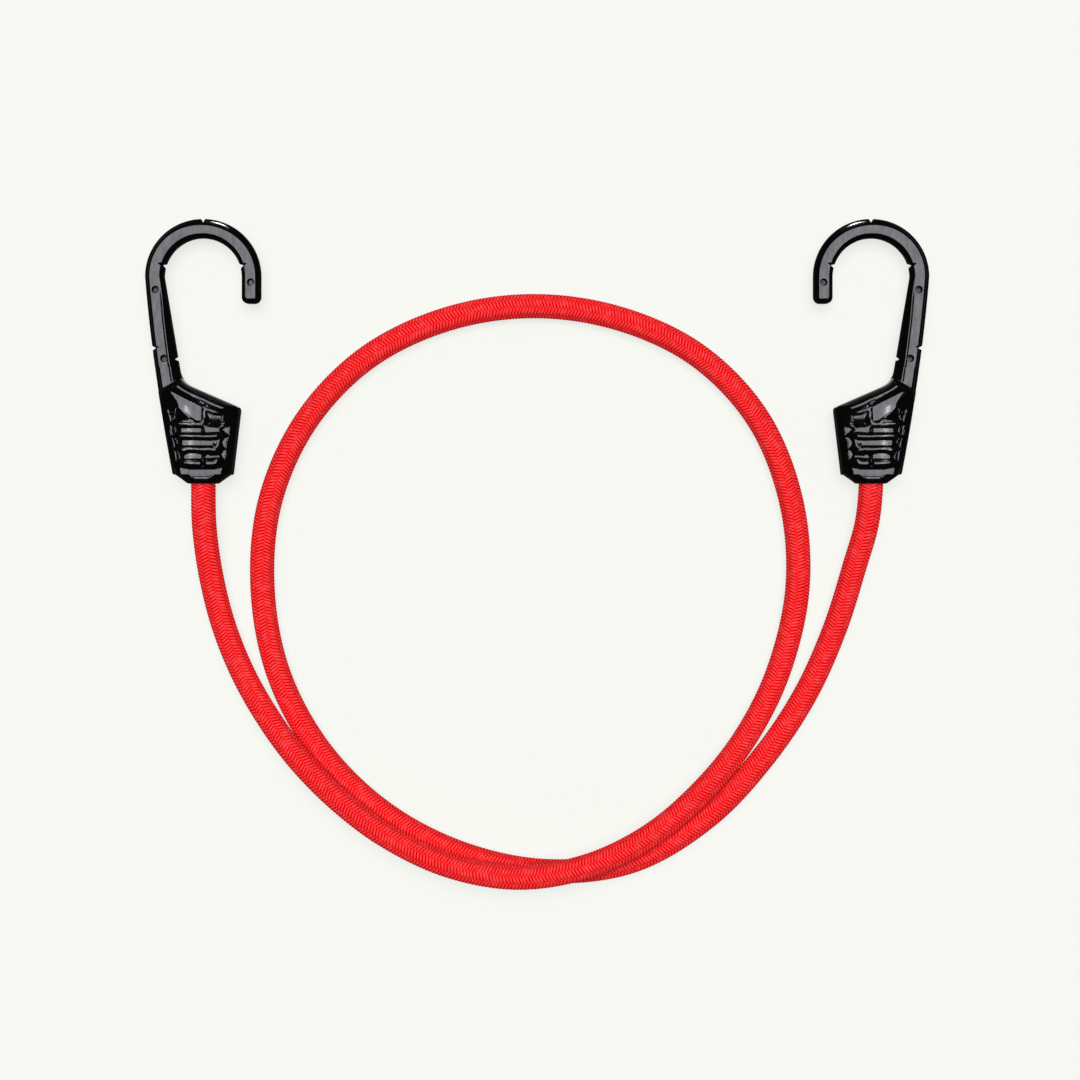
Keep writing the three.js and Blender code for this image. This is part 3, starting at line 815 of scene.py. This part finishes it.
def moulding_stations():
    """The stations of the moulding from the mouth to the tip, as the two ends of each line."""
    stations = []

    def add_across(ys, kind):
        for y in ys:
            stations.append((kind, (edge_at(outer_edge, y), y), (edge_at(inner_edge, y), y)))

    for y in collar_stations:
        wide = collar_radius + (collar_top_half_width - collar_radius) * (y / collar_top)
        wide -= mouth_chamfer * (y == 0)
        stations.append(("collar", (-wide, y), (wide, y)))
    for y, inset in step_stations:
        left = edge_at(outer_edge, foot_y) + inset
        stations.append(("barrel", (left, y), (-left, y)))
    add_across(barrel_stations, "barrel")
    add_across(shoulder_stations, "barrel")
    add_across(shank_stations, "shank")
    for angle in crown_stations:
        way = np.array((math.cos(angle), math.sin(angle)))
        middle = np.array((0, crown_y))
        stations.append((angle, tuple(middle + crown_radius * way), tuple(middle + inner_radius * way)))
    for y in (*tip_drops, *(tip_y + tip_corner * (1 - np.sin(tip_turns)))):
        reach = max(tip_corner - (y - tip_y), 0)
        inset = tip_corner - math.sqrt(max(tip_corner**2 - reach**2, 0))
        stations.append(("tip", (crown_radius - inset, y), (inner_radius + inset, y)))
    return stations


def shank_line(inner, inner_run):
    """How deep the fine line along the shank's flat is at each point."""
    reach = np.abs(inner - inner_run - shank_line_inset) / shank_line_half_width
    return np.clip(1 - reach, 0, 1) * shank_line_depth


def moulding_ring(kind, left, right):
    """One closed ring: the parting line at the left, the front face, the right, and the rear face."""
    left, right = np.array(left), np.array(right)
    width = np.linalg.norm(right - left)
    draft = {"collar": 0, "barrel": barrel_draft}.get(kind, band_draft)
    spread = np.linspace(0, 1, ring_columns)
    if kind == "collar":
        spread = (1 - np.cos(math.pi * spread)) / 2
    spread = (draft + (width - 2 * draft) * spread) / width
    points = left + (right - left) * spread[:, None]
    x, y = points[:, 0], points[:, 1]
    far = np.full(ring_columns, 1.0)
    outer, inner = width * spread - draft, width * (1 - spread) - draft
    if kind == "collar":
        rise = min(y[0] / collar_dome_y, 1) ** collar_dome_power
        deep = collar_half_depth + (collar_top_half_depth - collar_half_depth) * rise
        power = np.interp(y[0], *collar_powers)
        face = deep * np.clip(1 - np.abs(2 * x / width) ** power, 0, 1) ** (1 / power)
        face = np.maximum(face, least_depth)
        if y[0] == collar_line[1]:
            ends = np.clip(collar_line_fade * (1 - np.abs(x) / collar_line_half_width), 0, 1)
            face = face - collar_line_depth * ends
    elif kind == "barrel":
        shank_x = np.minimum(right[0], np.interp(y, (foot_y, shank_corner_y), buried_edge_x))
        inner = shank_x - draft - x
        inner_run = max(shank_x[0] - left[0] - 2 * draft - outer_bevel - shank_flat, inner_bevel)
        band = band_face(outer, inner, far, outer_bevel, inner_run)
        line = shank_line(inner, inner_run) * (y > shank_corner_y)
        band = np.where(inner > 0, band - line, band_side)
        barrel = barrel_face(x, y, pocket_floors)
        face = np.maximum(band, barrel)
    elif kind == "tip":
        outer, inner = crown_radius - band_draft - x, x - inner_radius - band_draft
        face = band_face(outer, inner, y - tip_y, outer_bevel, inner_bevel)
    elif kind == "shank":
        part = np.clip((crown_y - y[0]) / shank_bevel_run, 0, 1)
        inner_run = width - 2 * draft - outer_bevel - shank_flat
        inner_run = inner_bevel + (inner_run - inner_bevel) * part
        face = band_face(outer, inner, far, outer_bevel, inner_run)
        fade = np.clip((crown_y - shank_line_fade - y[0]) / shank_line_fade, 0, 1)
        face = face - shank_line(inner, inner_run) * fade
    else:
        away = (kind - crown_bevel_middle) / crown_bevel_spread
        outer_run = outer_bevel + crown_bevel_extra * math.exp(-away * away)
        face = band_face(outer, inner, far, outer_run, inner_bevel)
    front = np.column_stack([x, y, face])
    rear = np.column_stack([x, y, -face])[::-1]
    return np.vstack([(*left, 0), front, (*right, 0), rear])


def moulding_mesh():
    """The closed moulding: its rings, the end of its tip, and the bore and chamber in its mouth."""
    rings = [moulding_ring(*station) for station in moulding_stations()]
    mouth = rings[0]
    turn = np.arctan2(mouth[:, 2], mouth[:, 0])
    hollow = []
    for radius, y in (
        (chamber_radius, chamber_end),
        (chamber_radius, bore_depth),
        (bore_radius, bore_depth),
        (bore_radius, bore_chamfer),
        (bore_radius + bore_chamfer, 0),
    ):
        circle = (radius * np.cos(turn), np.full(len(turn), y), radius * np.sin(turn))
        hollow.append(np.column_stack(circle))
    rings = hollow + rings
    count = len(mouth)
    points = np.vstack([*rings, [(0, chamber_end, 0)]])
    faces = []
    for ring in range(len(rings) - 1):
        low, high = ring * count, (ring + 1) * count
        for k in range(count):
            after = (k + 1) % count
            faces.append((low + k, low + after, high + after, high + k))
    last = (len(rings) - 1) * count
    for k in range(1, ring_columns):
        faces.append((last + k, last + k + 1, last + count - k - 1, last + count - k))
    faces.append((last, last + 1, last + count - 1))
    right = last + ring_columns
    faces.append((right, right + 1, right + 2))
    middle = len(points) - 1
    faces += [((k + 1) % count, k, middle) for k in range(count)]
    mesh = bpy.data.meshes.new("moulding")
    mesh.from_pydata(points.tolist(), [], faces)
    work = bmesh.new()
    work.from_mesh(mesh)
    bmesh.ops.remove_doubles(work, verts=work.verts, dist=weld_distance)
    bmesh.ops.dissolve_degenerate(work, edges=work.edges, dist=weld_distance)
    bmesh.ops.recalc_face_normals(work, faces=work.faces)
    work.to_mesh(mesh)
    work.free()
    return mesh


# The mould's locating pins leave V marks in the band's edges, and its holding pins leave round
# wells through the nylon, down to the steel, which fills the bottom of each well.
notch_half_width = 0.0013
notch_depth = 0.0011
notch_face_depth = 0.0030
notch_taper = 0.6
crown_notch_lean = math.pi / 11
outer_notch_rise = 0.0034
outer_notch_turn = math.pi + 0.1
inner_notch_turn = 0.17
well_radius = 0.0012
well_floor_radius = 0.00082
well_floor = 0.0011
well_sides = 48
cut_overrun = 0.001
core_radius = crown_radius - band_width / 2
core_foot = (-0.0081, 0.0070)
tip_mark_y = crown_y - 0.0019
crown_mark_y = crown_y - 0.0042
foot_mark_y = crown_y - 0.0260


def core_line_x(y):
    return np.interp(y, (core_foot[1], crown_y), (core_foot[0], -core_radius))


def close_rings(work, rings):
    """Joins each ring of vertices to the next one and closes both ends."""
    count = len(rings[0])
    for low, high in zip(rings, rings[1:]):
        for k in range(count):
            after = (k + 1) % count
            work.faces.new((low[k], low[after], high[after], high[k]))
    work.faces.new(rings[0][::-1])
    work.faces.new(rings[-1])


def add_notch(work, x, y, outward):
    """A wedge across the band's edge, deeper towards the two faces."""
    turn = (math.cos(outward), math.sin(outward))
    rows = []
    for depth, z in (
        (notch_face_depth, -band_half_depth - cut_overrun),
        (notch_depth, 0),
        (notch_face_depth, band_half_depth + cut_overrun),
    ):
        half = notch_half_width * (depth / notch_face_depth) ** notch_taper
        spread = half * (1 + cut_overrun / depth)
        row = []
        for out, side in ((-depth, 0), (cut_overrun, -spread), (cut_overrun, spread)):
            row.append(work.verts.new((
                x + out * turn[0] - side * turn[1],
                y + out * turn[1] + side * turn[0],
                z,
            )))
        rows.append(row)
    close_rings(work, rows)


def add_well(work, x, y, side):
    """A round well, wider at the face of the band, that ends just below the steel's face."""
    widen = (well_radius - well_floor_radius) / (band_half_depth - well_floor)
    rings = []
    for reach in (0, band_half_depth - well_floor + cut_overrun):
        radius = well_floor_radius + widen * reach
        ring = []
        for k in range(well_sides):
            angle = math.tau * k / well_sides
            z = side * (well_floor + reach)
            ring.append(work.verts.new((x + radius * math.cos(angle), y + radius * math.sin(angle), z)))
        rings.append(ring)
    close_rings(work, rings)


def moulding_cutter():
    """All the V marks and round wells of one moulding, as one loose set of closed shapes."""
    work = bmesh.new()
    add_notch(work, 0, crown_y + crown_radius, math.pi / 2)
    for angle in (crown_notch_lean, math.pi - crown_notch_lean):
        x = inner_radius * math.cos(angle)
        y = crown_y + inner_radius * math.sin(angle)
        add_notch(work, x, y, angle + math.pi)
    outer_y = foot_mark_y + outer_notch_rise
    add_notch(work, float(edge_at(outer_edge, outer_y)), outer_y, outer_notch_turn)
    add_notch(work, float(edge_at(inner_edge, foot_mark_y)), foot_mark_y, inner_notch_turn)
    places = [(core_radius, tip_mark_y)]
    places += [(core_line_x(y), y) for y in (crown_mark_y, foot_mark_y)]
    for x, y in places:
        for side in (1, -1):
            add_well(work, float(x), float(y), side)
    bmesh.ops.recalc_face_normals(work, faces=work.faces)
    mesh = bpy.data.meshes.new("moulding_cutter")
    work.to_mesh(mesh)
    work.free()
    return mesh


def nylon_finish():
    """Glossy black nylon with a faint grain, slow ripples and scuffs."""
    finish = Finish("moulded_nylon", Specular_Tint=nylon_tint)
    grain = finish.noise(finish.object, 5200.0)
    ripple = finish.noise(finish.object, 260.0)
    scuffs = finish.noise(finish.stretch(finish.object, (900.0, 240.0, 900.0)), 1.0, 5.0, 0.6)
    shade = finish.blend(finish.span(scuffs, 0.55, 0.8), nylon_black, nylon_scuffed)
    shine = finish.span(scuffs, 0.35, 0.65, 0.29, 0.21)
    rough = finish.span(scuffs, 0.45, 0.8, 0.10, 0.20)
    normal = finish.bump(grain, 0.000012, 0.5, Normal=finish.bump(ripple, 0.00006, 0.12))
    return finish.put(Base_Color=shade, Specular_IOR_Level=shine, Roughness=rough, Normal=normal)


def gathered(items, name):
    """A vector property of all vertices or faces, as rows of three."""
    values = np.empty(len(items) * 3)
    items.foreach_get(name, values)
    return values.reshape(-1, 3)


def matt_faces(mesh):
    """True for each steep face, less the shoulder's outer edge, which is glossy."""
    normals, places = gathered(mesh.polygons, "normal"), gathered(mesh.polygons, "center")
    y = places[:, 1]
    on_shoulder = (y > shoulder_y) & (y < shank_corner_y + glossy_shoulder_overrun)
    on_shoulder &= (places[:, 0] > shank_corner_x) & (normals[:, 1] > glossy_shoulder_lean)
    return (np.abs(normals[:, 2]) < matt_limit) & ~on_shoulder


def cut_moulding():
    """The moulding less its marks, as a mesh about its own mouth."""
    body = add_object("moulding_body", moulding_mesh())
    cutter = add_object("moulding_cutter", moulding_cutter())
    cut = body.modifiers.new("marks", "BOOLEAN")
    cut.operation = "DIFFERENCE"
    cut.solver = "MANIFOLD"
    cut.object = cutter
    mesh = evaluated_mesh(body)
    bpy.data.objects.remove(body)
    bpy.data.objects.remove(cutter)
    return mesh


# The mould's steep walls are eroded, which leaves a fine matt grain on the same nylon.
matt_nylon = speckled_finish(
    "matt_nylon", (3800.0, 3.0), (0.4, 0.8), (nylon_black, nylon_scuffed), 0.00002, 0.6,
    Roughness=0.9, Specular_IOR_Level=0.03,
)
nylons = [nylon_finish(), matt_nylon]
moulding = cut_moulding()
matt = matt_faces(moulding).astype(np.int32)
for side, sign in hook_sides.items():
    mesh = moulding.copy()
    mesh.name = side + "_moulding"
    points = gathered(mesh.vertices, "co") * (-sign, 1, -sign) + (sign * mouth_x, mouth_y, mouth_z)
    mesh.vertices.foreach_set("co", points.ravel())
    dress(mesh, *nylons)
    mesh.polygons.foreach_set("material_index", matt)
    mesh.shade_smooth()
    mesh.set_sharp_from_angle(angle=crease_angle)
    hook = add_object(side + "_moulding", mesh)
    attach(hook, side + "_hook")
    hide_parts(side + "_hook_moulding")


# A plain pale surface under the cord, wide enough to reach the horizon. It is pale and matt, and most of
# what is seen of it glows evenly, so that the shadow stays faint. What it bounces is darker.
floor_light = (0.920, 0.930, 0.888, 1)
floor_dark = (0.913, 0.923, 0.881, 1)
floor_bounce = (0.34, 0.34, 0.33, 1)
floor_glow = 0.8
floor_radius = 12.0
floor_sides = 96
floor_drop = 0.0002


def floor_finish():
    finish = Finish("pale_surface", Roughness=0.9, Specular_IOR_Level=0.0)
    mottle = finish.noise(finish.object, 3.0)
    path = finish.node("ShaderNodeLightPath").outputs
    seen = finish.math("ADD", path["Is Camera Ray"], path["Is Glossy Ray"])
    seen = finish.math("ADD", seen, path["Is Transmission Ray"])
    shade = finish.blend(seen, floor_bounce, finish.blend(mottle, floor_light, floor_dark))
    glow = finish.node("ShaderNodeEmission", Color=floor_light)
    share = finish.math("MULTIPLY", seen, floor_glow)
    both = finish.node("ShaderNodeMixShader", n0=share, n1=finish.shader.outputs[0], n2=glow)
    finish.feed(finish.tree.nodes["Material Output"].inputs["Surface"], both)
    return finish.put(Base_Color=shade)


floor_mesh = bpy.data.meshes.new("floor")
floor_work = bmesh.new()
bmesh.ops.create_circle(floor_work, cap_ends=True, segments=floor_sides, radius=floor_radius)
for vertex in floor_work.verts:
    vertex.co.z = -floor_drop
floor_work.to_mesh(floor_mesh)
floor_work.free()
dress(floor_mesh, floor_finish())
floor = add_object("floor", floor_mesh)


# A soft light stands almost straight above, which the level faces of the hooks reflect as grey. The
# room is dim from there down to a pale band at the horizon, so their slopes stay black. A small lamp
# beyond each crown draws the streak on its bevel, and a broken row of three above each barrel draws the
# glints on its ribs. The camera sees a plain backdrop in place of the room.
overhead_size = math.radians(37.2)
overhead_lean = math.radians(9)
overhead_strength = 3.2
room_shade = 0.06
horizon_shade = 0.55
horizon_height = 0.05
horizon_fade = 0.12
backdrop_strength = 0.94
room_colour = (0.99, 1.0, 0.975, 1)
crown_lamp_place = (0.059, 0.350, 0.118)
crown_lamp_aim = (0.100, 0.110, 0.010)
crown_lamp_size = (0.095, 0.010)
crown_lamp_power = 0.018
crown_lamp_spread = math.radians(18)
barrel_lamp_x = 0.1148
barrel_lamp_height = 0.0344
barrel_lamp_spans = ((-0.0328, -0.0281), (-0.0256, -0.0240), (-0.0207, -0.0163))
barrel_lamp_width = 0.0006
barrel_lamp_glow = 165
barrel_lamp_lean = math.radians(6)

overhead_data = bpy.data.lights.new("overhead", "SUN")
overhead_data.angle = overhead_size
overhead_data.energy = overhead_strength
overhead = add_object("overhead", overhead_data)
overhead.rotation_euler = (-overhead_lean, 0, 0)


def small_lamp(name, place, size, power):
    """A small flat lamp that shows in glossy faces and lights nothing else."""
    data = bpy.data.lights.new(name, "AREA")
    data.shape = "RECTANGLE"
    data.size, data.size_y = size
    data.energy = power
    lamp = add_object(name, data)
    lamp.location = place
    lamp.visible_diffuse = False
    return lamp


for side, sign in hook_sides.items():
    turn = Vector((sign, 1, 1))
    place = turn * Vector(crown_lamp_place)
    lamp = small_lamp(side + "_crown_lamp", place, crown_lamp_size, crown_lamp_power)
    lamp.data.spread = crown_lamp_spread
    lamp.rotation_euler = (turn * Vector(crown_lamp_aim) - place).to_track_quat("-Z", "Y").to_euler()
    for part, (low, high) in zip(("lower", "middle", "upper"), barrel_lamp_spans):
        middle = (low + high) / 2
        x = barrel_lamp_x + middle * math.tan(barrel_lamp_lean)
        size = (barrel_lamp_width, high - low)
        power = barrel_lamp_glow * size[0] * size[1]
        name = "_".join((side, part, "barrel_lamp"))
        lamp = small_lamp(name, (sign * x, middle, barrel_lamp_height), size, power)
        lamp.rotation_euler = (0, 0, -sign * barrel_lamp_lean)

world = bpy.data.worlds.new("room")
world.use_nodes = True
bpy.context.scene.world = world
room = Nodes(world.node_tree)
toward = room.node("ShaderNodeTexCoord").outputs["Generated"]
fade = room.node(
    "ShaderNodeMapRange",
    {"interpolation_type": "SMOOTHSTEP"},
    Value=room.node("ShaderNodeSeparateXYZ", Vector=toward).outputs["Z"],
    From_Min=horizon_height,
    From_Max=horizon_height + horizon_fade,
    To_Min=horizon_shade,
    To_Max=room_shade,
)
by_camera = room.node("ShaderNodeLightPath").outputs["Is Camera Ray"]
strength = room.node("ShaderNodeMix", n0=by_camera, n2=fade, n3=backdrop_strength)
background = room.tree.nodes["Background"].inputs
room.feed(background["Strength"], strength)
background["Color"].default_value = room_colour

bpy.context.scene.view_settings.view_transform = "Standard"
